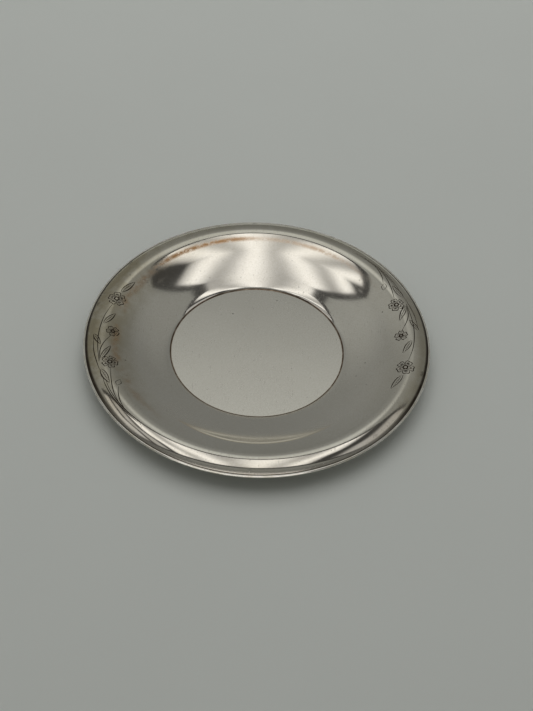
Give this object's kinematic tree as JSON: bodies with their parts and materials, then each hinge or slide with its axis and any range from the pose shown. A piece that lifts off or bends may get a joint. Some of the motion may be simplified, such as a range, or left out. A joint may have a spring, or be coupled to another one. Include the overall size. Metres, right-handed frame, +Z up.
{
  "type": "offering plate",
  "caption": "Shallow round metal dish with a flat sunken well, hollow sides, a rounded shoulder and a thin wire edge.",
  "frame": {"origin": "middle of the flat underside of the well, on the plate's axis, where the plate stands", "axes": "+Z up along the plate's axis; the two engraved sprays lie at -X and +X"},
  "size_m": [0.254, 0.254, 0.0205],
  "materials": {
    "silver_plate": "polished silver plate, worn and lightly tarnished",
    "silver_wire": "polished silver plate, tarnished in the joint",
    "hard_solder": "dull solder, tarnished brown"
  },
  "bodies": {
    "root": {"plate_body": "silver_plate", "rim_wire": "silver_wire", "rim_solder": "hard_solder"}
  },
  "joints": []
}
